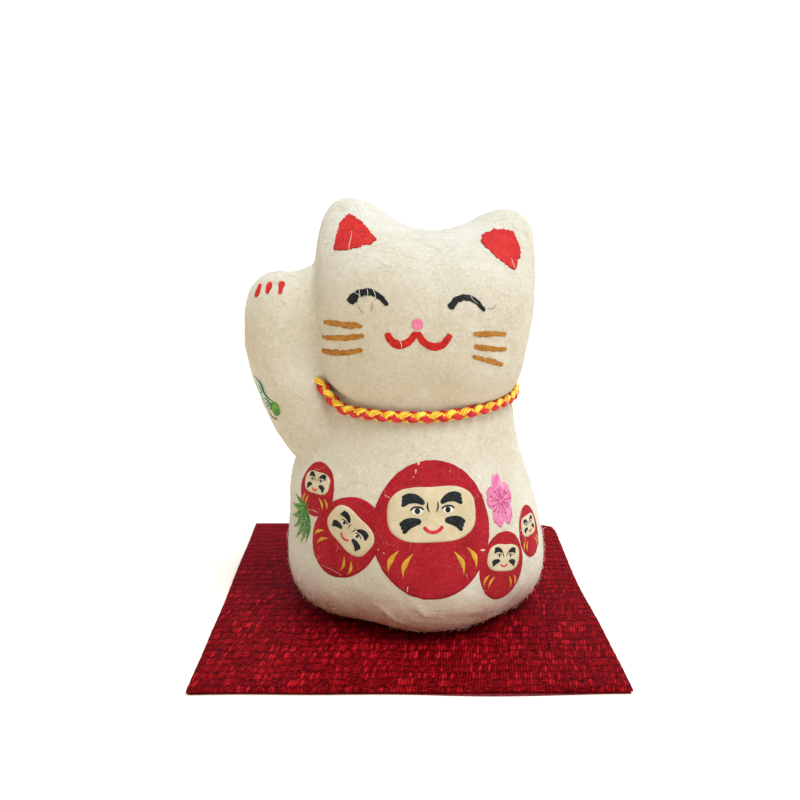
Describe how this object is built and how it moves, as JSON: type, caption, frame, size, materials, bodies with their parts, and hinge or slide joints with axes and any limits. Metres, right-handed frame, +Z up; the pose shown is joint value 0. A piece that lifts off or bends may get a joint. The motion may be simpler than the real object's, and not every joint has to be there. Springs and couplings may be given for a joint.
{
  "type": "beckoning cat figurine",
  "caption": "Papier-mache beckoning cat covered in fibrous white paper, with printed doll, flower and leaf motifs and a braided cord collar, standing loose on a square red cloth mat.",
  "frame": {"origin": "centre of the square mat's underside", "axes": "+Z up, the cat faces -Y, the mat's sides lie along X and Y, and the raised right paw is on the -X side"},
  "size_m": [0.08, 0.08, 0.0867],
  "materials": {
    "washi": "off-white fibrous handmade paper, matt",
    "paper_pulp": "rough moulded grey paper pulp",
    "card": "plain brown card",
    "clay": "dry clay lump",
    "mat_cloth": "nubby woven dark red cloth with glossy ribs",
    "cord_yarn": "smooth round braid of red and gold yarn",
    "red_print": "red printed thin paper, matt",
    "pink_print": "pink printed thin paper, matt",
    "green_print": "green printed thin paper, matt"
  },
  "bodies": {
    "mat": {"mat_under_cloth": "mat_cloth", "mat_liner": "card", "mat_top_cloth": "mat_cloth"},
    "cat": {"washi_skin": "washi", "shell_front": "paper_pulp", "shell_rear": "paper_pulp", "joint_strip": "washi", "base_disc": "card", "base_washi": "washi", "ballast": "clay", "collar_cord": "cord_yarn", "collar_knot": "cord_yarn", "collar_tail_left": "cord_yarn", "collar_tail_right": "cord_yarn", "print_daruma_large": "red_print", "print_daruma_tilted": "red_print", "print_daruma_upper": "red_print", "print_daruma_small": "red_print", "print_daruma_side": "red_print", "print_plum_flower": "pink_print", "print_bamboo_leaves": "green_print", "print_pine_sprig": "green_print"}
  },
  "joints": [
    {"name": "cat_lift", "type": "slide", "parent": "mat", "child": "cat", "axis": [0, 0, 1], "range_m": [0, 0.1]}
  ]
}
